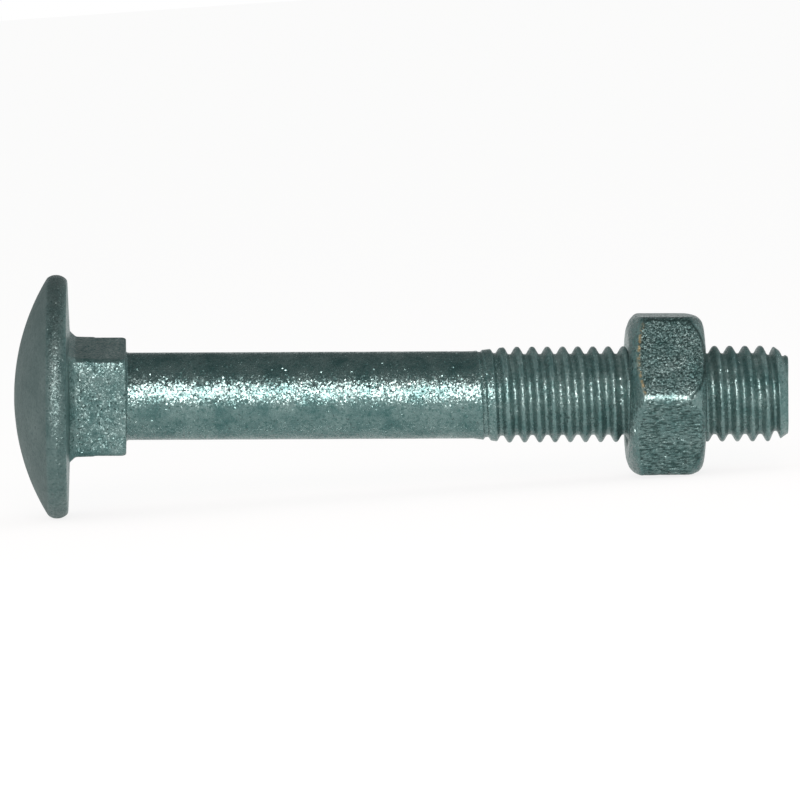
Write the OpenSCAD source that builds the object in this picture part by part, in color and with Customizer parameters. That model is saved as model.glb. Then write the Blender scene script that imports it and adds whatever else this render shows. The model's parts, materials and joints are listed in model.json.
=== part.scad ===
// Carriage bolt with its hex nut, hot-dip galvanised, lying on a level surface.
// The bolt is one forging with a rolled right-hand thread. The nut runs on that thread.
// The origin is the centre of the head's flat underside, on the bolt's axis.
// The head points to -X and the threaded end to +X, and +Z is up.

/* [Head] */
// Diameter of the head over its rounded rim
head_d = 20; // [16:0.5:24]
// Height of the head above its flat underside
head_h = 4.4; // [3.6:0.1:5.6]
// Radius of the domed top
dome_r = 18.6; // [15:0.1:24]
// Radius of the rounded rim, in section
rim_r = 1.2; // [1:0.05:1.5]
// Height of the rim's widest line above the underside
rim_mid = 0.92; // [0.6:0.02:1]

/* [Neck] */
// Side of the square neck
neck_w = 8.15; // [7.6:0.05:9]
// Length of the square neck
neck_len = 4.85; // [3:0.05:7]
// Radius of the neck's four long edges
neck_edge_r = 0.45; // [0.2:0.05:0.9]
// Bevel at the corners where the neck ends
neck_bevel = 0.25; // [0.2:0.05:1]
// Width and height of the small fillet where the neck leaves the head
neck_fillet = 0.5; // [0.2:0.05:1]
// How far each face of the neck is swollen beside the head, where the forging was upset
neck_swell = 0.12; // [0.06:0.01:0.2]
// Distance from the head's underside to the small step that ends the swelling
neck_swell_len = 2.3; // [1.2:0.1:2.8]
// Turn of the neck about the axis, measured from level faces
neck_turn = 11; // [0:1:44]

/* [Shank] */
// Diameter of the plain shank, rolled down to the pitch diameter
shank_d = 7.19; // [7:0.01:7.4]
// Length under the head
bolt_len = 59.2; // [50:0.1:90]

/* [Thread] */
// Pitch of the thread
pitch = 1.25; // [1:0.05:1.5]
// Diameter over the crests
crest_d = 7.89; // [7.7:0.01:7.95]
// Diameter at the roots, partly filled with zinc
root_d = 6.68; // [6.5:0.01:6.9]
// Flat on the crests
crest_w = 0.28; // [0.16:0.01:0.36]
// Height lost where a crest's edges are rounded
crest_round = 0.06; // [0.02:0.01:0.1]
// Length of the thread, with its run-out
thread_len = 26; // [20:0.5:34]
// Length over which the thread fades into the shank
runout = 2.9; // [1.5:0.1:4]
// Angle at which a crest line passes the plane of the underside
thread_turn = 350; // [0:2:358]
// Diameter of the flat end face
tip_d = 5.9; // [5:0.1:6.4]
// Length of the bevel at the end
tip_len = 1.05; // [0.6:0.05:1.6]
// Straight steps in each turn of the thread
thread_steps = 32; // [16:4:40]

/* [Nut] */
// Width of the nut across its flats
nut_af = 13; // [12:0.1:14]
// Thickness of the nut
nut_h = 6.5; // [5:0.1:8]
// Diameter over the nut's six blunt corners
nut_corner_d = 14.8; // [14.3:0.1:15]
// Diameter of the round faces left by the corner bevels
nut_face_d = 11.6; // [11:0.1:12.6]
// Slope of the corner bevels
nut_bevel_angle = 30; // [20:1:35]
// Diameter of the countersinks at the mouths of the hole
nut_sink_d = 8.7; // [8.3:0.1:9.2]
// Distance from the head's underside to the nut
nut_place = 45.8; // [38:0.05:52]

/* [Fit] */
// Radial clearance between the thread's crests and the nut's plain hole
nut_clearance = 0.055; // [0.03:0.005:0.1]

/* [Hidden] */
$fn = 96;

flank_angle = 30;
// How far one piece reaches into the next where they are one forging
join = 1;
// The thread's body starts this much inside the shank's surface
core_step = 0.04;
steel = "#7f8a8a";

shank_r = shank_d / 2;
core_r = shank_r - core_step;
crest_r = crest_d / 2;
root_r = root_d / 2;
tip_r = tip_d / 2;
thread_z = bolt_len - thread_len;
thread_bottom = thread_z - join;

// The corner bevel reaches this far down the middle of a flat
nut_bevel_h = (nut_af / 2 - nut_face_d / 2) * tan(nut_bevel_angle);
nut_corner_r = nut_af / 2 / cos(30);
nut_hole_r = crest_r + nut_clearance;
nut_sink_h = (nut_sink_d / 2 - nut_hole_r) * tan(30);

// The bolt leans on the head's rim and on the outer end of the nut's lowest flat
rim_to_nut = nut_place + nut_h - nut_bevel_h + rim_mid;
rim_drop = head_d / 2 - rim_r - nut_af / 2;
lean = atan2(rim_drop, rim_to_nut) + asin(rim_r / norm([rim_drop, rim_to_nut]));

// Section of one thread: places along the axis from a crest's middle, each with its radius
crest_soft = crest_round * tan(flank_angle);
flank_w = (crest_r - root_r) * tan(flank_angle);
tooth = [
    [-crest_w / 2 - flank_w, root_r],
    [-crest_w / 2 - crest_soft, crest_r - crest_round],
    [-crest_w / 2 + 2 * crest_soft, crest_r],
    [crest_w / 2 - 2 * crest_soft, crest_r],
    [crest_w / 2 + crest_soft, crest_r - crest_round],
    [crest_w / 2 + flank_w, root_r],
];
lines = len(tooth);
// The first turn starts a full pitch below the thread's body, and the last ends past the tip
first_crest = -pitch * thread_turn / 360;
first_turn = floor((thread_bottom - first_crest) / pitch) - 2;
turns = ceil((bolt_len - thread_bottom) / pitch) + 4;
// Points nearer to an end than this lie on the end
snap = pitch / thread_steps / 2;

// Lays a piece built along +Z down to its place, with the head's underside at the origin
module lay() {
    rotate([0, 90 + lean, 0]) children();
}

// Place along the axis of line j of the thread's surface, at step i of a turn
function line_z(i, j) =
    first_crest + pitch * (first_turn + floor(j / lines) + i / thread_steps) + tooth[j % lines][0];

// Radius there: the section fades into the shank at one end and is bevelled at the other
function line_r(z, r) =
    let (full = min(1, max(0, (z - thread_z) / runout)))
    let (bevelled = tip_r + (bolt_len - z) * (crest_r - tip_r) / tip_len)
    min(core_r + full * (r - core_r), bevelled);

function ring_point(i, r, z) =
    [r * cos(360 * i / thread_steps), r * sin(360 * i / thread_steps), z];

// Number of the point at step i on line j: the two end rings come first, and a whole turn climbs one thread
function point_number(i, j) =
    i == thread_steps ? point_number(0, j + lines) :
    line_z(i, j) < thread_bottom + snap ? i :
    line_z(i, j) > bolt_len - snap ? thread_steps + i :
    2 * thread_steps + i * turns * lines + j;

// Rolled thread, as one closed skin that follows its helix
module thread() {
    rings = [
        for (i = [0:thread_steps - 1]) ring_point(i, core_r, thread_bottom),
        for (i = [0:thread_steps - 1]) ring_point(i, tip_r, bolt_len),
    ];
    skin = [
        for (i = [0:thread_steps - 1])
            for (j = [0:turns * lines - 1])
                let (z = line_z(i, j))
                ring_point(i, line_r(z, tooth[j % lines][1]), z),
    ];
    corners = [
        for (i = [0:thread_steps - 1])
            for (j = [0:(turns - 1) * lines - 2])
                let (a = point_number(i, j), b = point_number(i + 1, j))
                let (c = point_number(i + 1, j + 1), d = point_number(i, j + 1))
                for (face = [[a, d, c], [a, c, b]])
                    if (face[0] != face[1] && face[1] != face[2] && face[2] != face[0]) face,
    ];
    ends = [
        [for (i = [0:thread_steps - 1]) i],
        [for (i = [thread_steps - 1:-1:0]) thread_steps + i],
    ];
    polyhedron(points = concat(rings, skin), faces = concat(corners, ends), convexity = 10);
}

// Half of the head's section, turned about the axis
module head_section() {
    intersection() {
        translate([0, dome_r - head_h]) circle(dome_r);
        translate([0, -head_h]) square([head_d, head_h]);
        union() {
            translate([0, -head_h]) square([head_d / 2 - rim_r / 2, head_h]);
            translate([head_d / 2 - rim_r, -rim_mid]) circle(rim_r);
        }
    }
}

// Square with rounded corners
module round_square(w, r) {
    square([w, w - 2 * r], center = true);
    square([w - 2 * r, w], center = true);
    for (x = [-1, 1], y = [-1, 1]) translate([x, y] * (w / 2 - r)) circle(r);
}

// Square neck, with its fillet under the head and bevelled corners at its end
module neck() {
    corner_r = (neck_w / 2 - neck_edge_r) * sqrt(2) + neck_edge_r;
    intersection() {
        translate([0, 0, -join]) linear_extrude(neck_len + join) round_square(neck_w, neck_edge_r);
        rotate_extrude() polygon([
            [0, -join],
            [neck_w, -join],
            [neck_w, neck_len - neck_bevel - neck_w + corner_r],
            [corner_r - neck_bevel, neck_len],
            [0, neck_len],
        ]);
    }
    hull() {
        translate([0, 0, -join]) linear_extrude(join)
            round_square(neck_w + 2 * neck_swell, neck_edge_r, $fn = 32);
        linear_extrude(neck_swell_len) round_square(neck_w + neck_swell, neck_edge_r, $fn = 32);
    }
    hull() {
        translate([0, 0, -join]) linear_extrude(join)
            round_square(neck_w + 2 * neck_fillet, neck_edge_r + neck_fillet, $fn = 32);
        linear_extrude(neck_fillet) round_square(neck_w + neck_swell, neck_edge_r, $fn = 32);
    }
}

module bolt() {
    color(steel) lay() {
        rotate_extrude() head_section();
        rotate(neck_turn) neck();
        translate([0, 0, -join]) cylinder(r = shank_r, h = thread_z + join);
        thread();
    }
}

// Half of the section that bevels the nut's corners, turned about the axis
module nut_section() {
    corner_h = (nut_corner_d / 2 - nut_face_d / 2) * tan(nut_bevel_angle);
    polygon([
        [0, 0],
        [nut_face_d / 2, 0],
        [nut_corner_d / 2, corner_h],
        [nut_corner_d / 2, nut_h - corner_h],
        [nut_face_d / 2, nut_h],
        [0, nut_h],
    ]);
}

module nut() {
    color(steel) lay() translate([0, 0, nut_place]) difference() {
        intersection() {
            rotate(30) cylinder(r = nut_corner_r, h = nut_h, $fn = 6);
            rotate_extrude() nut_section();
        }
        translate([0, 0, -join]) cylinder(r = nut_hole_r, h = nut_h + 2 * join);
        for (end = [0, 1]) translate([0, 0, end * nut_h]) mirror([0, 0, end])
            cylinder(r1 = nut_sink_d / 2, r2 = nut_hole_r, h = nut_sink_h);
    }
}

bolt();
nut();
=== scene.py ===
"""Looks of a hot-dip galvanised carriage bolt with its hex nut, lying on a pale floor."""

import json
import math

import bpy
import numpy as np
from mathutils import Matrix, Vector, noise


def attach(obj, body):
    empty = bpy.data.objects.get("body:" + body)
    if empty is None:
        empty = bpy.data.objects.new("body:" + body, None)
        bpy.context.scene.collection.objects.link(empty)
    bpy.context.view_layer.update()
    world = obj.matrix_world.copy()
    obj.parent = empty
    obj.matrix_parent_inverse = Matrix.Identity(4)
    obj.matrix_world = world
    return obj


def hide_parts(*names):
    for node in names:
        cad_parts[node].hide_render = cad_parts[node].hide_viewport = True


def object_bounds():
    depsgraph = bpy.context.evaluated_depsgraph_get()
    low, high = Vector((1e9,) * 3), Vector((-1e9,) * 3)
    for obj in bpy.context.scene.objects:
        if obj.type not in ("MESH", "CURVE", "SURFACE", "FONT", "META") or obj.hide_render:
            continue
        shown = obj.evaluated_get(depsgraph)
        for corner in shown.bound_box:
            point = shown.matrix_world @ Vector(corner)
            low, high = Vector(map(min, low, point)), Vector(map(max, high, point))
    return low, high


bl_info = {
    "name": "Carriage bolt looks",
    "version": (1, 0, 0),
    "blender": (4, 5, 0),
    "location": "3D View > Sidebar > Carriage bolt",
    "description": "Makes the zinc skins of a carriage bolt and its nut, and the stage they lie on",
    "category": "Object",
}

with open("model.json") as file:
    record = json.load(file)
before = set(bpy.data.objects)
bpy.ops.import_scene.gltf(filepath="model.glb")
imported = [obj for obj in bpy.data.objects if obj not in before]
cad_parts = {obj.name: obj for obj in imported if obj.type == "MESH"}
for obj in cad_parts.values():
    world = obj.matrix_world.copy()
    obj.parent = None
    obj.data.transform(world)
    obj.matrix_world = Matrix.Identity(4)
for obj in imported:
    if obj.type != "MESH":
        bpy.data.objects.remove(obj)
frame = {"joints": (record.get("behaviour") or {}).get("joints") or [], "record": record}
cad_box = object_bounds()

MM = 0.001
MOUNTS = {mount["name"]: mount for mount in frame["record"]["mounts"]}
AXIS = Vector(frame["joints"][0]["axis"]).normalized()
LEAN = math.atan2(-AXIS.z, AXIS.x)
# The pieces are drawn along +Z and laid down by this turn, as in the part's own frame. What is drawn at 180
# degrees round the axis then is on top, and what is at 270 degrees faces forwards
LAY = Matrix.Rotation(math.radians(90) + LEAN, 3, "Y")
TOP = 180
BOLT_LENGTH = Vector(MOUNTS["thread_end"]["pos_m"]).length / MM
NUT_PLACE = Vector(MOUNTS["nut_seat"]["pos_m"]).length / MM
HEAD_RADIUS = (cad_box[1][1] - cad_box[0][1]) / 2 / MM


def length_property(name, default, words):
    """A length in millimetres that a user can change."""
    return bpy.props.FloatProperty(name=name, default=default, description=words + ", in millimetres", min=0)


def angle_property(name, degrees, words):
    """An angle that a user can change."""
    return bpy.props.FloatProperty(
        name=name, default=math.radians(degrees), description=words, subtype="ANGLE"
    )


def colour_property(name, default, words):
    """An sRGB colour as a hex code."""
    return bpy.props.StringProperty(
        name=name, default=default, description=words + ", as an sRGB hex code"
    )


class BoltSizes(bpy.types.PropertyGroup):
    """Sizes of the bolt's head, neck and shank over their zinc."""

    head_height: length_property("Head height", 4.4, "Height of the dome above the flat underside")
    dome_radius: length_property("Dome radius", 18.6, "Radius of the domed top")
    rim_radius: length_property("Rim radius", 1.2, "Radius of the rounded rim in section")
    rim_middle: length_property("Rim middle", 0.92, "Height of the rim's widest line above the underside")
    neck_width: length_property("Neck width", 8.15, "Side of the square neck")
    neck_length: length_property("Neck length", 4.8, "Length of the square neck")
    neck_edge: length_property("Neck edge", 0.45, "Radius of the neck's four long edges")
    neck_fillet: length_property("Neck fillet", 0.5, "Fillet where the neck leaves the head")
    seat_rise: length_property("Seat rise", 0.16, "How far the underside rises towards the neck")
    neck_bevel: length_property("Neck bevel", 0.25, "Bevel at the corners where the neck ends")
    neck_swell: length_property("Neck swell", 0.12, "How far the neck's faces swell beside the head")
    neck_step: length_property("Neck step", 2.15, "Distance from the head to the swelling's small step")
    neck_turn: angle_property("Neck turn", 11, "Turn of the neck about the bolt's axis, from level faces")
    shank: length_property("Shank diameter", 7.19, "Diameter of the plain shank")
    zinc_round: length_property("Zinc rounding", 0.09, "How far the zinc softens each edge")
    zinc_wave: length_property("Zinc waves", 0.02, "Depth of the uneven zinc skin")


class ThreadSizes(bpy.types.PropertyGroup):
    """Sizes of the rolled thread over its zinc, and of its worn end."""

    pitch: length_property("Pitch", 1.25, "Distance from crest to crest")
    crest: length_property("Crest diameter", 7.89, "Diameter over the crests")
    root: length_property("Root diameter", 6.68, "Diameter at the roots, partly filled with zinc")
    crest_flat: length_property("Crest flat", 0.28, "Flat on the crests")
    length: length_property("Thread length", 26, "Length of the thread with its run-out")
    runout: length_property("Run-out", 2.9, "Length over which the thread fades into the shank")
    tip: length_property("Tip diameter", 6.3, "Diameter of the flat end face")
    tip_bevel: angle_property("Tip bevel", 36, "Slope of the bevel at the end, from the axis")
    tip_offset: length_property("Tip offset", 0.12, "How far the end's bevel sits below the axis")
    tip_inset: length_property("Tip inset", 0.05, "How far the end face lies inside the solid's")
    tip_wear: length_property("Tip wear", 0.19, "How much shorter the end is worn at its front edge")
    tip_groove: length_property("Tip groove", 0.25, "How much deeper the last turns of the groove are")
    turn: angle_property("Thread turn", 357, "Angle at which a crest line passes the head's underside")


class NutSizes(bpy.types.PropertyGroup):
    """Sizes of the nut over its zinc."""

    width: length_property("Nut width", 13, "Width across the flats")
    height: length_property("Nut height", 6.26, "Thickness of the nut")
    inset: length_property("Near inset", 0.08, "How far the end towards the head lies behind the solid's")
    near_face: length_property("Near face", 10.9, "Diameter of the round face towards the head")
    far_face: length_property("Far face", 11.4, "Diameter of the round face towards the thread's end")
    sink: length_property("Countersink", 8.7, "Diameter of the countersinks at the mouths of the hole")
    corner: length_property("Nut corner", 0.95, "Radius of the six long edges")
    play: length_property("Thread play", 0.04, "Gap between the nut's thread and the bolt's")
    peel: length_property("Peel depth", 0.09, "Depth of the rough zinc skin on the flats")
    near_smooth: length_property("Near smooth band", 0.62, "Width of the smooth zinc towards the head")
    far_smooth: length_property("Far smooth band", 0.12, "Width of the smooth zinc at the other end")


class Finish(bpy.types.PropertyGroup):
    """Colours of the zinc and the floor, with the painted shade and painted highlight on the nut."""

    zinc_dull: colour_property("Dull zinc", "#4f7271", "Dull patches of the zinc")
    zinc_fresh: colour_property("Fresh zinc", "#75918f", "Fresh patches of the zinc")
    zinc_fleck: colour_property("Zinc fleck", "#335d5b", "Fine dark flecks between the crystals")
    zinc_matt: colour_property("Matt zinc", "#4e5d5c", "Thick matt zinc on the head")
    # Painted shade, laid in the low spots of the nut's peel and along the step at the peel's edges
    pit_and_step_shade: colour_property("Pits", "#2c4644", "Pits and steps in the nut's rough skin")
    # A light yellow-brown colour along the bevel's edge, partly a real stain and partly a painted highlight
    stain_and_highlight: colour_property("Stain", "#b3a377", "Yellow-brown stain beside the nut's bevel")
    floor: colour_property("Floor", "#f4f4f2", "Pale floor")


def linear(code):
    """An sRGB hex code as linear red, green, blue and alpha."""
    shares = [int(code[i : i + 2], 16) / 255 for i in (1, 3, 5)]
    return [s / 12.92 if s <= 0.04045 else ((s + 0.055) / 1.055) ** 2.4 for s in shares] + [1]


def add_node(tree, kind, inputs=None, **settings):
    """Adds a node with its settings, and fills its inputs with values or with links from other nodes."""
    made = tree.nodes.new(kind)
    for name, value in settings.items():
        setattr(made, name, value)
    for socket, value in (inputs or {}).items():
        if isinstance(value, bpy.types.NodeSocket):
            tree.links.new(value, made.inputs[socket])
        else:
            made.inputs[socket].default_value = value
    return made


# Shapes, drawn along +Z in millimetres, with the head's underside at zero

# Columns round the two skins, with how far they crowd towards the corners, and stations along their stretches
BOLT_COLUMNS = 152
BOLT_CROWD = 0.6
DOME_POINTS = 40
RIM_POINTS = 60
HEAD_STATIONS = 176
SHANK_STATIONS = 48
THREAD_STATIONS = 372
END_STATIONS = 8
NUT_COLUMNS = 396
NUT_CROWD = 0.45
NUT_OUTER_STATIONS = 156
NUT_BORE_STATIONS = 66


def soft_min(a, b, reach):
    """The lower of two heights, with the corner between them rounded over reach."""
    share = np.clip(0.5 + 0.5 * (b - a) / reach, 0, 1)
    return b + (a - b) * share - reach * share * (1 - share)


def soft_max(a, b, reach):
    """The higher of two heights, with the corner between them rounded over reach."""
    return -soft_min(-a, -b, reach)


def ease(share):
    """A share from 0 to 1 with a smooth start and end."""
    share = np.clip(share, 0, 1)
    return share * share * (3 - 2 * share)


def band(value, middle, width):
    """A share that is 1 where a value is at the middle of a band, and fades to 0 over the width."""
    return np.exp(-(((value - middle) / width) ** 2))


def polygon_radius(angle, sides, apothem, edge):
    """Radius of a regular polygon with rounded corners, where angle zero is the middle of a side."""
    half = math.pi / sides
    from_side = np.abs((angle + half) % (2 * half) - half)
    from_corner = half - from_side
    centre = (apothem - edge) / math.cos(half)
    reach = np.maximum(edge**2 - (centre * np.sin(from_corner)) ** 2, 0)
    arc = centre * np.cos(from_corner) + np.sqrt(reach)
    arc_start = math.atan2((apothem - edge) * math.tan(half), apothem)
    return np.where(from_side > arc_start, arc, apothem / np.cos(from_side))


def angles_round(count, corners, first_corner, crowd):
    """Angles once round, crowded towards the corners of a polygon."""
    even = np.arange(count) * 2 * math.pi / count
    return first_corner + even - crowd / corners * np.sin(corners * even)


def softened(path, reach, count):
    """Stations along a path whose corners are rounded over reach, crowded where it bends."""
    path = np.array(path, float)
    marks = np.concatenate([[0], np.cumsum(np.linalg.norm(np.diff(path, axis=0), axis=1))])
    fine = np.arange(0, marks[-1], reach / 4)
    even = np.stack([np.interp(fine, marks, column) for column in path.T], axis=1)
    # A bell curve as wide as reach smooths the path, mirrored past its ends so that they stay in place
    half = 16
    kernel = np.exp(-0.5 * (np.arange(-half, half + 1) / 4) ** 2)
    kernel /= kernel.sum()
    padded = np.pad(even, ((half, half), (0, 0)), mode="reflect", reflect_type="odd")
    soft = np.stack([np.convolve(column, kernel, mode="valid") for column in padded.T], axis=1)
    bend = np.linalg.norm(np.gradient(np.gradient(soft, axis=0), axis=0), axis=1)
    density = 1 + 60 * np.convolve(bend, np.ones(half + 1) / (half + 1), mode="same") / reach
    share = np.concatenate([[0], np.cumsum(density[1:])])
    place = np.interp(np.linspace(0, share[-1], count), share, np.arange(len(fine)))
    return np.stack([np.interp(place, np.arange(len(fine)), column) for column in soft.T], axis=1)


def normals_of(points, closed_path):
    """Outward normals of a grid of points: rows run along the piece and columns round it."""
    if closed_path:
        along = np.roll(points, -1, axis=0) - np.roll(points, 1, axis=0)
    else:
        along = np.gradient(points, axis=0)
    around = np.roll(points, -1, axis=1) - np.roll(points, 1, axis=1)
    normal = np.cross(around, along)
    return normal / np.maximum(np.linalg.norm(normal, axis=2, keepdims=True), 1e-9)


def noise_at(points, grain, seed):
    """Smooth noise from -1 to 1 at each point of a grid, with grain as its size in millimetres."""
    flat = (points.reshape(-1, 3) / np.broadcast_to(grain, 3) + seed * 17.3).tolist()
    return np.array([noise.noise(p) for p in flat]).reshape(points.shape[:2])


def ring_points(angle, radius, place):
    """A grid of points from angles, radii and places along the axis."""
    along = np.broadcast_to(place, radius.shape)
    return np.stack([radius * np.cos(angle), radius * np.sin(angle), along], axis=2)


def grid_faces(rows, columns, closed_path):
    """Quads of a grid that is closed round its columns, and along its rows where asked."""
    row = np.arange(rows if closed_path else rows - 1)[:, None]
    column = np.arange(columns)[None, :]
    next_row = (row + 1) % rows
    next_column = (column + 1) % columns
    corners = [row * columns + column, row * columns + next_column]
    corners += [next_row * columns + next_column, next_row * columns + column]
    quads = np.stack([np.broadcast_to(corner, (len(row), columns)) for corner in corners], axis=2)
    return quads.reshape(-1, 4).tolist()


def capped_skin(points):
    """Points and faces of a grid whose first and last rows are each closed by a fan round a middle point."""
    rows, columns = points.shape[:2]
    count = rows * columns
    last = count - columns
    first_fan = [(count, (i + 1) % columns, i) for i in range(columns)]
    last_fan = [(last + i, last + (i + 1) % columns, count + 1) for i in range(columns)]
    middles = [points[0].mean(axis=0), points[-1].mean(axis=0)]
    skin = np.concatenate([points.reshape(-1, 3), middles])
    return skin, grid_faces(rows, columns, False) + first_fan + last_fan


def make_piece(name, node, points, faces, marks, material):
    """A smooth piece from points in millimetres, laid in place. It stands for its CAD node and rides on its
    body."""
    mesh = bpy.data.meshes.new(name)
    mesh.from_pydata((points @ np.array(LAY).T * MM).tolist(), [], faces)
    mesh.shade_smooth()
    for mark, values in marks.items():
        mesh.attributes.new(mark, "FLOAT", "POINT").data.foreach_set("value", values.astype(np.float32))
    mesh.materials.append(material)
    piece = bpy.data.objects.new(name, mesh)
    bpy.context.scene.collection.objects.link(piece)
    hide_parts(node)
    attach(piece, node)


# The thread

FLANK_ANGLE = math.radians(30)
# Rounding of the crests and roots at full depth, and what stays of it where the thread fades out
CREST_ROUND = 0.16
ROOT_ROUND = 0.1
LEAST_ROUND = 0.02
# The last turns of the groove are deeper within this distance of the end, and fade out over as much again
GROOVE_REACH = 1.1
TIP_ROUND = 0.15
END_EDGE = 0.12


def tooth_radius(thread, angle, place, core, depth):
    """Radius of the thread at an angle and a place along the axis. It stands half out of a core and is cut
    half into it, and depth is the share of its full depth that the dies have reached there."""
    crest_line = thread.pitch * (angle - thread.turn) / (2 * math.pi)
    crest = core + depth * (thread.crest / 2 - core)
    root = core + depth * (thread.root / 2 - core)
    slope = 1 / math.tan(FLANK_ANGLE)
    root_flat = thread.pitch - thread.crest_flat - (thread.crest - thread.root) / slope
    half_pitch = thread.pitch / 2
    from_root = half_pitch - np.abs((place - crest_line + half_pitch) % thread.pitch - half_pitch)
    flank = root + (from_root - root_flat / 2) * slope
    crested = soft_min(flank, crest, LEAST_ROUND + CREST_ROUND * depth)
    return soft_max(crested, root, LEAST_ROUND + ROOT_ROUND * depth)


def end_place(thread, angle, share):
    """Place of the end face along the axis, at an angle and a share of its radius."""
    forwards = np.maximum(-np.sin(angle), 0)
    return BOLT_LENGTH - thread.tip_inset - thread.tip_wear * (share * forwards) ** 2


def thread_radius(sizes, thread, angle, place):
    """Radius of the bolt's threaded stretch, with its run-out, its deeper last turns and its bevelled end."""
    depth = np.clip((place - BOLT_LENGTH + thread.length) / thread.runout, 0, 1)
    radius = tooth_radius(thread, angle, place, sizes.shank / 2, depth)
    to_end = end_place(thread, angle, 1) - place
    low = np.clip((thread.crest / 2 - radius) / (thread.crest - thread.root) * 2, 0, 1)
    radius = radius - thread.tip_groove * low * ease(2 - to_end / GROOVE_REACH)
    end_radius = thread.tip / 2 + thread.tip_offset * np.cos(angle)
    return soft_min(radius, end_radius + math.tan(thread.tip_bevel) * to_end, TIP_ROUND)


def thread_points(sizes, thread, angle):
    """The threaded stretch, the rounded edge of the end face, and that face closing in to its middle."""
    end = end_place(thread, angle, 1)
    place = np.linspace(BOLT_LENGTH - thread.length, end - END_EDGE, THREAD_STATIONS)
    threaded = ring_points(angle, thread_radius(sizes, thread, angle, place), place)
    turn = np.radians([30, 60, 90])[:, None]
    face_radius = np.linalg.norm(threaded[-1, :, :2], axis=1) - END_EDGE
    edge_place = end - END_EDGE + END_EDGE * np.sin(turn)
    edge = ring_points(angle, face_radius + END_EDGE * np.cos(turn), edge_place)
    share = np.linspace(0.9, 0.02, END_STATIONS)[:, None]
    face = ring_points(angle, share * face_radius, end_place(thread, angle, share))
    return np.concatenate([threaded, edge, face])


# The bolt

# The hook-shaped lap on the neck's front face is an arc round a low swelling. Its middle is given by its
# place along the axis and its height above that, and the arc by the two directions, in degrees, of its ends
LAP_PLACE = 1.45
LAP_UP = 2.2
LAP_RADIUS = 0.72
LAP_WIDTH = 0.07
LAP_DEPTH = 0.14
LAP_START = -25
LAP_END = 95
LAP_FADE = 15
SWELLING_RADIUS = 0.5
SWELLING_HEIGHT = 0.03
# The crease along that face's top edge, in degrees round the axis, and how far the face falls away below it
CREASE_ANGLE = 234.2
CREASE_WIDTH = 1.1
CREASE_DEPTH = 0.07
CROWN_DEPTH = 0.08
# The stretch of the neck that has these marks
NECK_MARKS_START = 0.3
NECK_MARKS_END = 4
# Nicks in the thread and pits in the shank, as place, height above the axis, radius and depth
DENTS = [
    (56.6, 0.75, 0.22, 0.1),
    (56.85, 0.1, 0.2, 0.14),
    (57.1, -0.6, 0.26, 0.12),
    (44.75, 0.1, 0.2, 0.12),
    (44.95, -0.5, 0.24, 0.12),
    (40.8, -1.7, 0.2, 0.08),
    (26.7, 0.25, 0.2, 0.05),
    (29.1, 0.5, 0.24, 0.04),
    (30.3, 0.2, 0.3, 0.04),
    (31.2, -0.3, 0.2, 0.03),
    (23.4, -0.1, 0.16, 0.04),
]


def head_path(sizes):
    """Section of the head and neck: places, radii, and how much of the neck's square shows in them."""

    def dome_place(radius):
        return sizes.dome_radius - sizes.head_height - math.sqrt(sizes.dome_radius**2 - radius**2)

    def rim_point(angle):
        radius = HEAD_RADIUS - sizes.rim_radius + sizes.rim_radius * math.cos(angle)
        return sizes.rim_radius * math.sin(angle) - sizes.rim_middle, radius

    seat_angle = math.asin(sizes.rim_middle / sizes.rim_radius)
    rim = [rim_point(angle) for angle in np.linspace(-math.pi / 3, seat_angle, RIM_POINTS)]
    # The rim shows from where it comes out of the dome
    rim = [(place, radius) for place, radius in rim if place > dome_place(radius)]
    dome = [(dome_place(radius), radius) for radius in np.linspace(0, rim[0][1], DOME_POINTS)]
    half_neck = sizes.neck_width / 2
    half_shank = sizes.shank / 2
    return [(place, radius, 0) for place, radius in dome[:-1] + rim] + [
        (sizes.seat_rise, half_neck + sizes.neck_fillet, 1),
        (sizes.seat_rise + sizes.neck_fillet, half_neck, 1),
        (sizes.neck_length, half_neck, 1),
        (sizes.neck_length, half_shank + sizes.zinc_round, 0),
        (sizes.neck_length + sizes.zinc_round, half_shank, 0),
        (sizes.neck_length + 1, half_shank, 0),
    ]


def head_points(sizes, angle):
    """The head, the square neck and the shank's first millimetre."""
    path = softened(head_path(sizes), sizes.zinc_round, HEAD_STATIONS)[1:]
    place, middle, square = path[:, :1], path[:, 1:2], path[:, 2:]
    # Each face of the neck is swollen beside the head, and half as much at the step where that ends
    before_step = ease((sizes.neck_step - place) / 0.12 + 0.5)
    swell = sizes.neck_swell * (1 - 0.5 * place / sizes.neck_step) * before_step
    half_neck = sizes.neck_width / 2
    square_radius = polygon_radius(angle - sizes.neck_turn, 4, half_neck, sizes.neck_edge)
    radius = middle + square * (square_radius - half_neck + swell)
    corner = (half_neck - sizes.neck_edge) * math.sqrt(2) + sizes.neck_edge
    radius = soft_min(radius, corner - sizes.neck_bevel + sizes.neck_length - place, 0.2)
    return ring_points(angle, radius, place)


def bolt_points(sizes, thread):
    """The bolt's skin as a grid of points: rows run from the dome's middle to the end face's."""
    angle = angles_round(BOLT_COLUMNS, 4, sizes.neck_turn + math.pi / 4, BOLT_CROWD)
    head = head_points(sizes, angle)
    head_end = head[-1, 0, 2]
    place = np.linspace(head_end, BOLT_LENGTH - thread.length, SHANK_STATIONS)[1:-1, None]
    shank = ring_points(angle, np.full((len(place), len(angle)), sizes.shank / 2), place)
    return np.concatenate([head, shank, thread_points(sizes, thread, angle)])


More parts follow.
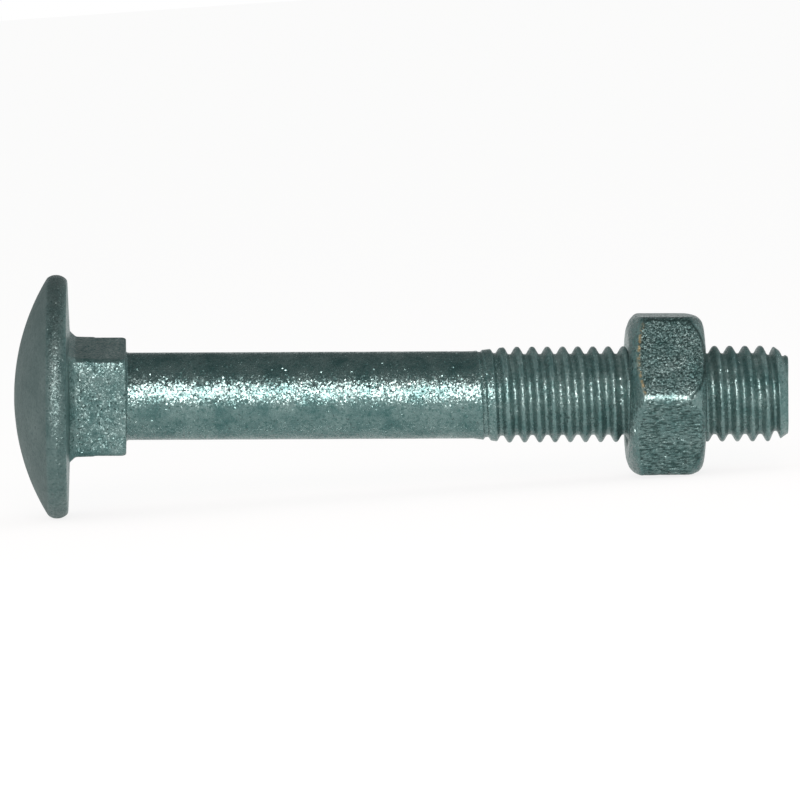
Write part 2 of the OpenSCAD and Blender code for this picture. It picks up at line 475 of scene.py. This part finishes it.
def neck_marks(points):
    """How far the marks of the forging stand out of the neck's front face, or lie in it: a lap, a crease
    along the top edge, and the fall of the face below that."""
    front = points[..., 1] < 0
    along = points[..., 2] - LAP_PLACE
    up = -points[..., 0] - LAP_UP
    reach = np.hypot(along, up)
    turn = np.degrees(np.arctan2(up, along))
    on_arc = ease((turn - LAP_START) / LAP_FADE) * ease((LAP_END - turn) / LAP_FADE)
    lap = band(reach, LAP_RADIUS, LAP_WIDTH) * on_arc * front
    swelling = band(reach, 0, SWELLING_RADIUS) * front
    degrees = np.degrees(np.arctan2(points[..., 1], points[..., 0])) % 360
    past_fillet = ease(points[..., 2] / 0.5)
    below_edge = ease((degrees - 233) / 4) * front
    crown = CROWN_DEPTH * ease((-points[..., 0] - 1.8) / 1.2) * past_fillet * below_edge
    crease = CREASE_DEPTH * band(degrees, CREASE_ANGLE, CREASE_WIDTH) * past_fillet
    return SWELLING_HEIGHT * swelling - LAP_DEPTH * lap - crown - crease


def dents_on(points):
    """How deep the nicks and pits lie on the side that faces forwards."""
    deep = np.zeros(points.shape[:2])
    for place, up, radius, depth in DENTS:
        share = ((points[..., 2] - place) ** 2 + (points[..., 0] + up) ** 2) / radius**2
        deep += depth * np.exp(-share) * (points[..., 1] < 0)
    return deep


def worn_bolt(sizes, points):
    """The bolt's skin with its zinc waves, the marks on its neck and its dents."""
    long_waves = noise_at(points, (1.6, 1.6, 2.4), 1)
    short_waves = noise_at(points, 0.55, 2)
    depth = sizes.zinc_wave * (long_waves * 0.7 + short_waves * 0.3 - 0.8) / 2
    on_neck = (points[..., 2] > NECK_MARKS_START) * (points[..., 2] < NECK_MARKS_END)
    depth += neck_marks(points) * on_neck
    depth -= dents_on(points)
    return points + normals_of(points, False) * depth[..., None]


def bolt_marks(sizes, thread, points):
    """How rough the zinc is, how far its crystals tilt, how matt it is and how much bare metal shows, along
    the bolt: matt on the dome, coarse on the rim and neck, smooth on the shank and dull on the thread."""
    dome_end, rim_start, rim_end, seat = -1.7, -1.6, -0.2, 0
    shank_start = sizes.neck_length + 0.1
    thread_start = BOLT_LENGTH - thread.length
    full_thread = thread_start + 3
    stations = [dome_end, rim_start, rim_end, seat, sizes.neck_length, shank_start, thread_start, full_thread]
    along = {
        "zinc_roughness": [0.6, 0.42, 0.42, 0.34, 0.34, 0.24, 0.24, 0.3],
        "crystal_tilt": [0.14, 0.4, 0.4, 0.42, 0.42, 0.31, 0.31, 0.36],
        "zinc_matt": [0.7, 0.5, 0.45, 0.08, 0.08, 0, 0, 0],
        "metal_share": [0.7, 0.9, 0.9, 0.86, 0.86, 0.92, 0.92, 0.74],
    }
    return {name: np.interp(points[:, 2], stations, values) for name, values in along.items()}


# The nut

# Its two ends in section, from the edge of the round face outwards, as depth and distance from that edge.
# The end towards the head was bevelled on a lathe, and the other is domed as the dies left it
NEAR_BEVEL = [(0, 0), (0.22, 0.6), (0.55, 1.2)]
NEAR_CORNER_DEPTH = 1.0
FAR_DOME = [(0, 0), (0.15, 0.5), (0.5, 1.15), (1.0, 1.5)]
FAR_CORNER_DEPTH = 1.7
# The ends are rounded more than the rest within this depth
END_REACH = 1.4
# The peel grows to its full depth over this distance from its edges
PEEL_FADE = 0.14


def nut_rows(sizes, thread):
    """Places and radii of the nut's rows: from one mouth over the outside to the other, then back inside."""
    bore = thread.root / 2 + sizes.play
    sink_depth = (sizes.sink / 2 - bore) * math.tan(FLANK_ANGLE)
    corner = sizes.width / 2 / math.cos(math.radians(30))
    mouth = [(sink_depth, bore), (0, sizes.sink / 2)]
    near_end = mouth + [(depth, sizes.near_face / 2 + out) for depth, out in NEAR_BEVEL]
    near_end += [(NEAR_CORNER_DEPTH, corner)]
    far_end = mouth + [(depth, sizes.far_face / 2 + out) for depth, out in FAR_DOME]
    far_end += [(FAR_CORNER_DEPTH, corner)]
    path = near_end + [(sizes.height - depth, radius) for depth, radius in reversed(far_end)]
    outside = softened(path, 0.08, NUT_OUTER_STATIONS)
    inner_place = np.linspace(sizes.height - sink_depth, sink_depth, NUT_BORE_STATIONS)[1:-1]
    inside = np.stack([inner_place, np.full(len(inner_place), bore)], axis=1)
    return np.concatenate([outside, inside])


def nut_points(sizes, thread, angle, rows):
    """The nut's skin as a grid of points, with its internal thread."""
    place, middle = rows[:, :1], rows[:, 1:]
    flats = polygon_radius(angle, 6, sizes.width / 2, sizes.corner)
    # The far end is rounded most of all on the flats that lie level
    level = np.cos(angle) ** 4
    near_end = ease(END_REACH - place)
    far_end = ease(END_REACH - (sizes.height - place))
    rounding = 0.25 + 0.45 * near_end + (0.2 + 0.6 * level) * far_end
    radius = soft_min(middle, flats, rounding)
    place_on_bolt = place + NUT_PLACE + sizes.inset
    inner_thread = tooth_radius(thread, angle, place_on_bolt, thread.root / 2, 1) + sizes.play
    in_hole = middle < sizes.sink / 2 - 0.01
    radius = np.where(in_hole, soft_max(middle, inner_thread, 0.1), radius)
    return ring_points(angle, radius, place)


def nut_marks(sizes, angle, rows):
    """Shares of the rough peel, of the yellow-brown band that is partly a painted highlight, of the step
    along the peel's edges, which also carries painted shade, and of its ripples, and how far the crystals
    tilt. The upper front flat runs from 210 to 270 degrees."""
    place, middle = rows[:, :1], rows[:, 1:]
    degrees = np.degrees(angle) % 360
    outer = middle > sizes.near_face / 2
    everywhere = np.ones_like(place)

    # The rough peel covers the flats up to smooth bands at the ends, which widen towards the corners
    over = np.maximum(polygon_radius(angle, 6, sizes.width / 2, sizes.corner) - sizes.width / 2, 0)
    near_edge = place - sizes.near_smooth - 0.6 * over
    far_edge = sizes.height - place - sizes.far_smooth - 1.5 * over**1.5
    on_flats = outer * ease(near_edge / PEEL_FADE) * ease(far_edge / PEEL_FADE)
    # The top flat has none, and the edge that points forwards is worn smooth
    on_top = ease((28 - np.abs(degrees - TOP)) / 2)
    worn = band(degrees, 268.6, 2.3)
    peel = on_flats * (1 - on_top) * (1 - worn)

    # A yellow-brown band beside the near smooth band on the upper front flat: partly a stain, partly a
    # painted highlight
    upper_front = ease((degrees - 211) / 6) * ease((269 - degrees) / 5)
    stain_and_highlight = upper_front * outer * band(near_edge, 0.05, 0.12)
    # The peel steps down sharply along its upper and far edges, and that step is also darkened with painted
    # shade
    top_side = band(degrees, 210.5, 1.0) * (near_edge > 0) * (far_edge > 0)
    far_side = band(far_edge, 0, 0.12) * ease((degrees - 208) / 3) * (degrees < 270)
    step = outer * np.maximum(far_side, top_side)
    # On the lower flats it lies in ripples
    ripple = ease((degrees - 262) / 12) * everywhere
    tilt = 0.48 - 0.3 * worn * everywhere
    return {"peel": peel, "stain_and_highlight": stain_and_highlight, "step": step, "ripple": ripple, "crystal_tilt": tilt}


def worn_nut(sizes, points, marks):
    """The nut's skin with its zinc waves and its peel: round grains on the upper flats, and grains drawn
    out along the axis on the lower ones."""
    round_grain = noise_at(points, 0.32, 3) * 0.5 + noise_at(points, 0.18, 4) * 0.5
    long_grain = noise_at(points, (0.24, 0.24, 0.6), 5) * 0.35
    grain = round_grain + (long_grain - round_grain) * marks["ripple"]
    waves = noise_at(points, 1.8, 7)
    peel = marks["peel"] * np.clip(0.5 + 1.3 * grain, 0, 1)
    depth = -0.012 * (0.5 + 0.5 * waves) - sizes.peel * peel - 0.04 * marks["step"]
    return points + normals_of(points, True) * depth[..., None]


# Materials

# Sizes of the zinc's patterns, in millimetres
CLOUD_MM = 2.2
FLECK_MM = 0.26
PEEL_GRAIN_MM = 0.19
# Blots of the yellow-brown stain with its painted highlight
STAIN_AND_HIGHLIGHT_BLOT_MM = 0.35
# The real crystals are too fine to show, and are drawn about a pixel and a half across
BOLT_CRYSTAL_MM = 0.12
NUT_CRYSTAL_MM = 0.14
# How high the patterns stand, in millimetres
FLECK_HEIGHT_MM = 0.02
PEEL_HEIGHT_MM = 0.17
# A Mix node's sockets by number, because their names repeat
SHARE = 0
NUMBER_A, NUMBER_B, MIXED_NUMBER = 2, 3, 0
COLOUR_A, COLOUR_B, MIXED_COLOUR = 6, 7, 2


def zinc_colour(tree, in_mm, grain, finish, matt):
    """Clouds of duller and fresher zinc with fine dark flecks, and plain grey where it is thick and matt."""
    clouds = add_node(
        tree, "ShaderNodeTexNoise", {"Vector": in_mm, "Scale": 1 / CLOUD_MM, "Detail": 4, "Roughness": 0.65}
    ).outputs[0]
    fresh = add_node(
        tree, "ShaderNodeMapRange", {"Value": clouds, "From Min": 0.35, "From Max": 0.65}
    ).outputs[0]
    fleck = add_node(
        tree, "ShaderNodeMapRange", {"Value": grain, "From Min": 0.5, "From Max": 0.32, "To Max": 0.7}
    ).outputs[0]
    colour = linear(finish.zinc_dull)
    for share, code in ((fresh, finish.zinc_fresh), (fleck, finish.zinc_fleck), (matt, finish.zinc_matt)):
        inputs = {SHARE: share, COLOUR_A: colour, COLOUR_B: linear(code)}
        colour = add_node(tree, "ShaderNodeMix", inputs, data_type="RGBA").outputs[MIXED_COLOUR]
    return colour


def crystal_facets(tree, in_mm, size_mm, tilt, under):
    """Flat facets, one for each crystal and each with its own tilt. One in six is steeper."""
    crystals = add_node(tree, "ShaderNodeTexVoronoi", {"Vector": in_mm, "Scale": 1 / size_mm}).outputs
    from_middle = add_node(
        tree, "ShaderNodeVectorMath", {0: in_mm, 1: crystals["Position"]}, operation="SUBTRACT"
    ).outputs[0]
    lie = add_node(
        tree, "ShaderNodeVectorMath", {0: crystals["Color"], 1: (0.5, 0.5, 0.5)}, operation="SUBTRACT"
    ).outputs[0]
    level_height = add_node(
        tree, "ShaderNodeVectorMath", {0: from_middle, 1: lie}, operation="DOT_PRODUCT"
    ).outputs["Value"]
    chance = add_node(tree, "ShaderNodeTexWhiteNoise", {"Vector": crystals["Position"]}).outputs["Value"]
    steep = add_node(
        tree,
        "ShaderNodeMapRange",
        {"Value": chance, "From Min": 0.83, "From Max": 1.0, "To Min": 1.0, "To Max": 4.0},
    ).outputs[0]
    own_tilt = add_node(tree, "ShaderNodeMath", {0: tilt, 1: steep}, operation="MULTIPLY").outputs[0]
    height = add_node(tree, "ShaderNodeMath", {0: level_height, 1: own_tilt}, operation="MULTIPLY").outputs[0]
    return add_node(
        tree, "ShaderNodeBump", {"Height": height, "Strength": 1.0, "Distance": MM, "Normal": under}
    )


def zinc_skin(name, finish, crystal_mm, tilt, gloss, matt, metal):
    """Steel dipped in molten zinc and weathered: matt grey, with a sparkle where its small crystals face the
    light. A dull patina on the metal scatters a part of the light. The last four are numbers, or names of
    marks on the mesh. Returns the material, and what a coat on top of this one starts from."""
    material = bpy.data.materials.new(name)
    material.use_nodes = True
    tree = material.node_tree
    tree.nodes.clear()
    matt, tilt, gloss, metal = (
        add_node(tree, "ShaderNodeAttribute", attribute_name=value).outputs["Fac"]
        if isinstance(value, str)
        else value
        for value in (matt, tilt, gloss, metal)
    )
    place = add_node(tree, "ShaderNodeTexCoord").outputs["Object"]
    in_mm = add_node(
        tree, "ShaderNodeVectorMath", {0: place, 1: (1 / MM,) * 3}, operation="MULTIPLY"
    ).outputs[0]
    grain = add_node(
        tree, "ShaderNodeTexNoise", {"Vector": in_mm, "Scale": 1 / FLECK_MM, "Detail": 3, "Roughness": 0.6}
    ).outputs[0]
    colour = zinc_colour(tree, in_mm, grain, finish, matt)

    dents = add_node(
        tree, "ShaderNodeBump", {"Height": grain, "Strength": 1.0, "Distance": FLECK_HEIGHT_MM * MM}
    ).outputs[0]
    facets = crystal_facets(tree, in_mm, crystal_mm, tilt, dents)
    unevenness = add_node(
        tree,
        "ShaderNodeMapRange",
        {"Value": grain, "From Min": 0.3, "From Max": 0.7, "To Min": 0.1, "To Max": -0.06},
    ).outputs[0]
    roughness = add_node(tree, "ShaderNodeMath", {0: gloss, 1: unevenness}, operation="ADD").outputs[0]
    shader = add_node(
        tree,
        "ShaderNodeBsdfPrincipled",
        {"Base Color": colour, "Roughness": roughness, "Metallic": metal, "Normal": facets.outputs[0]},
    )
    add_node(tree, "ShaderNodeOutputMaterial", {"Surface": shader.outputs[0]})
    return material, {"in_mm": in_mm, "dents": dents, "facets": facets, "colour": colour, "shader": shader}


def bolt_zinc(finish):
    """The bolt's thin zinc, drained while hot: a fine sparkle, as strong as the marks on the mesh say."""
    marks = ("crystal_tilt", "zinc_roughness", "zinc_matt", "metal_share")
    material, _ = zinc_skin("galvanised_steel_drained", finish, BOLT_CRYSTAL_MM, *marks)
    return material


def peel_grains(tree, in_mm, ripple):
    """Round grains on the upper flats, and on the lower ones ripples 0.45 mm long and 0.14 mm across."""
    squeeze = (0.42, 1.35, 1.35)
    drawn_out = add_node(
        tree, "ShaderNodeVectorMath", {0: in_mm, 1: squeeze}, operation="MULTIPLY"
    ).outputs[0]
    scale = 1 / PEEL_GRAIN_MM
    round_grains, long_grains = (
        add_node(
            tree, "ShaderNodeTexNoise", {"Vector": vector, "Scale": scale, "Detail": 2, "Roughness": 0.55}
        ).outputs[0]
        for vector in (in_mm, drawn_out)
    )
    inputs = {SHARE: ripple, NUMBER_A: round_grains, NUMBER_B: long_grains}
    return add_node(tree, "ShaderNodeMix", inputs).outputs[MIXED_NUMBER]


def nut_zinc(finish):
    """The nut's thicker zinc: a rough peel on the flats, with painted shade in its pits and where it steps
    down from the smooth ends, and torn yellow-brown blots beside the bevel that are partly staining and
    partly a painted highlight."""
    tilt, gloss, matt, metal = "crystal_tilt", 0.29, 0.08, 0.8
    material, under = zinc_skin(
        "galvanised_steel_thick", finish, NUT_CRYSTAL_MM, tilt, gloss, matt, metal
    )
    tree = material.node_tree
    in_mm = under["in_mm"]
    stain_and_highlight, peel, ripple, step = (
        add_node(tree, "ShaderNodeAttribute", attribute_name=name).outputs["Fac"]
        for name in ("stain_and_highlight", "peel", "ripple", "step")
    )

    # The ripples are half as high as the round grains
    grains = peel_grains(tree, in_mm, ripple)
    level = add_node(
        tree, "ShaderNodeMapRange", {"Value": ripple, "To Min": 1.0, "To Max": 0.5}
    ).outputs[0]
    depth = add_node(tree, "ShaderNodeMath", {0: level, 1: peel}, operation="MULTIPLY").outputs[0]
    height = add_node(tree, "ShaderNodeMath", {0: grains, 1: depth}, operation="MULTIPLY").outputs[0]
    rough = add_node(
        tree,
        "ShaderNodeBump",
        {"Height": height, "Strength": 1.0, "Distance": PEEL_HEIGHT_MM * MM, "Normal": under["dents"]},
    ).outputs[0]
    tree.links.new(rough, under["facets"].inputs["Normal"])

    # Painted shade in the low spots of the peel's grains and along the step at its edges
    pits = add_node(
        tree, "ShaderNodeMapRange", {"Value": grains, "From Min": 0.55, "From Max": 0.4, "To Max": 0.9}
    ).outputs[0]
    painted_pit_shade = add_node(tree, "ShaderNodeMath", {0: pits, 1: peel}, operation="MULTIPLY").outputs[0]
    dark = add_node(tree, "ShaderNodeMath", {0: painted_pit_shade, 1: step}, operation="MAXIMUM").outputs[0]
    # Torn blots of light yellow-brown, partly a stain and partly a painted highlight along the bevel's edge
    blots = add_node(
        tree, "ShaderNodeTexNoise", {"Vector": in_mm, "Scale": 1 / STAIN_AND_HIGHLIGHT_BLOT_MM, "Detail": 3}
    ).outputs[0]
    torn = add_node(
        tree, "ShaderNodeMapRange", {"Value": blots, "From Min": 0.4, "From Max": 0.6, "To Max": 0.8}
    ).outputs[0]
    stain_and_highlight_share = add_node(tree, "ShaderNodeMath", {0: stain_and_highlight, 1: torn}, operation="MULTIPLY").outputs[0]
    colour = under["colour"]
    for share, code in ((dark, finish.pit_and_step_shade), (stain_and_highlight_share, finish.stain_and_highlight)):
        inputs = {SHARE: share, COLOUR_A: colour, COLOUR_B: linear(code)}
        colour = add_node(tree, "ShaderNodeMix", inputs, data_type="RGBA").outputs[MIXED_COLOUR]
    tree.links.new(colour, under["shader"].inputs["Base Color"])
    return material


# Stage, in metres and watts

# Where the camera looks from, how the bolt lies in its view, and what fills its frame
CAMERA_RISE = math.radians(3.6)
CAMERA_TURN = math.radians(1.42)
AXIS_IN_VIEW = math.radians(0.26)
FRAME_WIDTH = 65.69 * MM
LENS = 347
SENSOR = 36
VIEW_MIDDLE = 27.26 * MM
VIEW_DROP = 0.4 * MM
# The lamp stands over the camera by a share of its distance
LAMP_RISE = 0.18
LAMP_DISTANCE = 0.5
LAMP_SIZE = 0.27
LAMP_WATTS = 3.0
LAMP_TINT = (1.0, 0.77, 0.76)
# Levels of the room in a gloss, ahead and at its sides, and how far its light on matt surfaces is below white
ROOM_LEVEL = 0.17
SIDE_LEVEL = 0.74
MATT_LOSS = 0.15
# The shares of the floor that are plain white to the camera and in a gloss, where the rest is lit card
FLOOR_WHITE_SEEN = 0.84
FLOOR_WHITE_IN_GLOSS = 0.46
FLOOR_RADIUS = 4.0
FLOOR_SIDES = 96


def camera_frame():
    """The camera's right, up and backward directions: it looks along +Y and a little down, and is rolled so
    that the leaning bolt lies level in the view."""
    back = Vector((0, -math.cos(CAMERA_RISE), math.sin(CAMERA_RISE)))
    back = Matrix.Rotation(-CAMERA_TURN, 3, "Z") @ back
    right = Vector((0, 0, 1)).cross(back).normalized()
    up = back.cross(right)
    roll = math.atan2(AXIS.dot(up), AXIS.dot(right)) - AXIS_IN_VIEW
    rolled_right = right * math.cos(roll) + up * math.sin(roll)
    rolled_up = up * math.cos(roll) - right * math.sin(roll)
    return rolled_right, rolled_up, back


def make_camera():
    """A long lens in front of the bolt. Returns the point that it looks at and the direction back."""
    right, up, back = camera_frame()
    data = bpy.data.cameras.new("camera")
    data.lens = LENS
    data.sensor_width = SENSOR
    data.clip_start = 0.01
    data.clip_end = 100
    camera = bpy.data.objects.new("camera", data)
    target = AXIS * VIEW_MIDDLE - up * VIEW_DROP
    place = target + back * FRAME_WIDTH * LENS / SENSOR
    camera.matrix_world = Matrix.Translation(place) @ Matrix((right, up, back)).transposed().to_4x4()
    bpy.context.scene.collection.objects.link(camera)
    bpy.context.scene.camera = camera
    return target, back


def make_lamp(target, back):
    """A round soft lamp, a little warm, that faces the bolt from over the camera."""
    towards = back + Vector((0, 0, LAMP_RISE))
    data = bpy.data.lights.new("front_lamp", "AREA")
    data.shape = "DISK"
    data.size = LAMP_SIZE
    data.energy = LAMP_WATTS
    data.color = LAMP_TINT
    lamp = bpy.data.objects.new("front_lamp", data)
    lamp.location = target + towards.normalized() * LAMP_DISTANCE
    lamp.rotation_euler = towards.to_track_quat("Z", "Y").to_euler()
    bpy.context.scene.collection.objects.link(lamp)


def make_world():
    """White to the camera. In the metal's gloss it is white close behind the bolt, where the camera sees
    it, and dim above, with soft light from the sides."""
    world = bpy.data.worlds.new("studio")
    bpy.context.scene.world = world
    world.use_nodes = True
    tree = world.node_tree
    tree.nodes.clear()
    towards = add_node(tree, "ShaderNodeTexCoord").outputs["Generated"]
    split = add_node(tree, "ShaderNodeSeparateXYZ", {0: towards}).outputs
    aside = add_node(tree, "ShaderNodeMath", {0: split["X"]}, operation="ABSOLUTE").outputs[0]
    room = add_node(
        tree,
        "ShaderNodeMapRange",
        {"Value": aside, "From Min": 0.3, "From Max": 0.9, "To Min": ROOM_LEVEL, "To Max": SIDE_LEVEL},
    ).outputs[0]
    behind = add_node(
        tree, "ShaderNodeMapRange", {"Value": split["Y"], "From Min": 0.94, "From Max": 0.99}
    ).outputs[0]
    in_gloss = add_node(
        tree, "ShaderNodeMix", {SHARE: behind, NUMBER_A: room, NUMBER_B: 1.0}
    ).outputs[MIXED_NUMBER]
    path = add_node(tree, "ShaderNodeLightPath").outputs
    loss = add_node(
        tree, "ShaderNodeMath", {0: path["Is Diffuse Ray"], 1: MATT_LOSS}, operation="MULTIPLY"
    ).outputs[0]
    plain = add_node(tree, "ShaderNodeMath", {0: 1.0, 1: loss}, operation="SUBTRACT").outputs[0]
    level = add_node(
        tree, "ShaderNodeMix", {SHARE: path["Is Glossy Ray"], NUMBER_A: plain, NUMBER_B: in_gloss}
    ).outputs[MIXED_NUMBER]
    shown = add_node(tree, "ShaderNodeBackground", {"Color": (1, 1, 1, 1), "Strength": level}).outputs[0]
    add_node(tree, "ShaderNodeOutputWorld", {"Surface": shown})


def floor_card(finish):
    """Matt white card, lit so that it shows white and still takes the object's shadow."""
    material = bpy.data.materials.new("matt_white_card")
    material.use_nodes = True
    tree = material.node_tree
    tree.nodes.clear()
    card = add_node(tree, "ShaderNodeBsdfDiffuse", {"Color": linear(finish.floor)}).outputs[0]
    glow = add_node(tree, "ShaderNodeEmission", {"Color": (1, 1, 1, 1), "Strength": 1.0}).outputs[0]
    # The white is weaker in a gloss, so that the object's shadow on the floor shows there too
    path = add_node(tree, "ShaderNodeLightPath").outputs
    rays = {0: path["Is Glossy Ray"], 1: path["Is Transmission Ray"]}
    reflected = add_node(tree, "ShaderNodeMath", rays, operation="MAXIMUM").outputs[0]
    in_gloss = add_node(
        tree, "ShaderNodeMath", {0: reflected, 1: FLOOR_WHITE_IN_GLOSS}, operation="MULTIPLY"
    ).outputs[0]
    seen = add_node(
        tree, "ShaderNodeMath", {0: path["Is Camera Ray"], 1: FLOOR_WHITE_SEEN}, operation="MULTIPLY"
    ).outputs[0]
    share = add_node(tree, "ShaderNodeMath", {0: in_gloss, 1: seen}, operation="MAXIMUM").outputs[0]
    both = add_node(tree, "ShaderNodeMixShader", {0: share, 1: card, 2: glow}).outputs[0]
    add_node(tree, "ShaderNodeOutputMaterial", {"Surface": both})
    return material


def make_floor(material):
    """A round sheet of card under the bolt, at the height that the part rests on."""
    turns = [2 * math.pi * side / FLOOR_SIDES for side in range(FLOOR_SIDES)]
    floor_z = cad_box[0][2]
    points = [(FLOOR_RADIUS * math.cos(turn), FLOOR_RADIUS * math.sin(turn), floor_z) for turn in turns]
    mesh = bpy.data.meshes.new("floor")
    mesh.from_pydata(points, [], [range(FLOOR_SIDES)])
    mesh.materials.append(material)
    floor = bpy.data.objects.new("floor", mesh)
    bpy.context.scene.collection.objects.link(floor)


# Operators


class MakeBolt(bpy.types.Operator):
    """Makes the bolt's zinc skin in place of its plain solid"""

    bl_idname = "carriage_bolt.make_bolt"
    bl_label = "Make the bolt"

    def execute(self, context):
        scene = context.scene
        sizes, thread = scene.bolt_sizes, scene.thread_sizes
        skin, faces = capped_skin(worn_bolt(sizes, bolt_points(sizes, thread)))
        marks = bolt_marks(sizes, thread, skin)
        make_piece("bolt_skin", "bolt", skin, faces, marks, bolt_zinc(scene.zinc_finish))
        return {"FINISHED"}


class MakeNut(bpy.types.Operator):
    """Makes the nut's zinc skin, with its inner thread, in place of its plain solid"""

    bl_idname = "carriage_bolt.make_nut"
    bl_label = "Make the nut"

    def execute(self, context):
        scene = context.scene
        sizes, thread = scene.nut_sizes, scene.thread_sizes
        angle = angles_round(NUT_COLUMNS, 6, math.radians(30), NUT_CROWD)
        rows = nut_rows(sizes, thread)
        marks = nut_marks(sizes, angle, rows)
        points = worn_nut(sizes, nut_points(sizes, thread, angle, rows), marks)
        skin = points.reshape(-1, 3) + (0, 0, NUT_PLACE + sizes.inset)
        faces = grid_faces(len(rows), len(angle), True)
        marks = {name: values.reshape(-1) for name, values in marks.items()}
        make_piece("nut_skin", "nut", skin, faces, marks, nut_zinc(scene.zinc_finish))
        return {"FINISHED"}


class MakeStage(bpy.types.Operator):
    """Makes the camera, the lamp, the world and the floor"""

    bl_idname = "carriage_bolt.make_stage"
    bl_label = "Make the stage"

    def execute(self, context):
        target, back = make_camera()
        make_lamp(target, back)
        make_world()
        make_floor(floor_card(context.scene.zinc_finish))
        context.scene.view_settings.view_transform = "Standard"
        return {"FINISHED"}


class BoltPanel(bpy.types.Panel):
    """Lists the pieces and the stage"""

    bl_idname = "VIEW3D_PT_carriage_bolt"
    bl_label = "Carriage bolt"
    bl_space_type = "VIEW_3D"
    bl_region_type = "UI"
    bl_category = "Carriage bolt"

    def draw(self, context):
        for operator in OPERATORS:
            self.layout.operator(operator.bl_idname)


GROUPS = {
    "bolt_sizes": BoltSizes,
    "thread_sizes": ThreadSizes,
    "nut_sizes": NutSizes,
    "zinc_finish": Finish,
}
OPERATORS = [MakeStage, MakeBolt, MakeNut]


def register():
    """Makes the classes known to Blender and hangs the groups on the scene."""
    for kind in [*GROUPS.values(), *OPERATORS, BoltPanel]:
        bpy.utils.register_class(kind)
    for name, group in GROUPS.items():
        setattr(bpy.types.Scene, name, bpy.props.PointerProperty(type=group))


def unregister():
    """Takes back what register made."""
    for name in GROUPS:
        delattr(bpy.types.Scene, name)
    for kind in [BoltPanel, *OPERATORS, *GROUPS.values()]:
        bpy.utils.unregister_class(kind)


def main():
    """Makes everything."""
    register()
    bpy.ops.carriage_bolt.make_stage()
    bpy.ops.carriage_bolt.make_bolt()
    bpy.ops.carriage_bolt.make_nut()


if __name__ == "__main__":
    main()
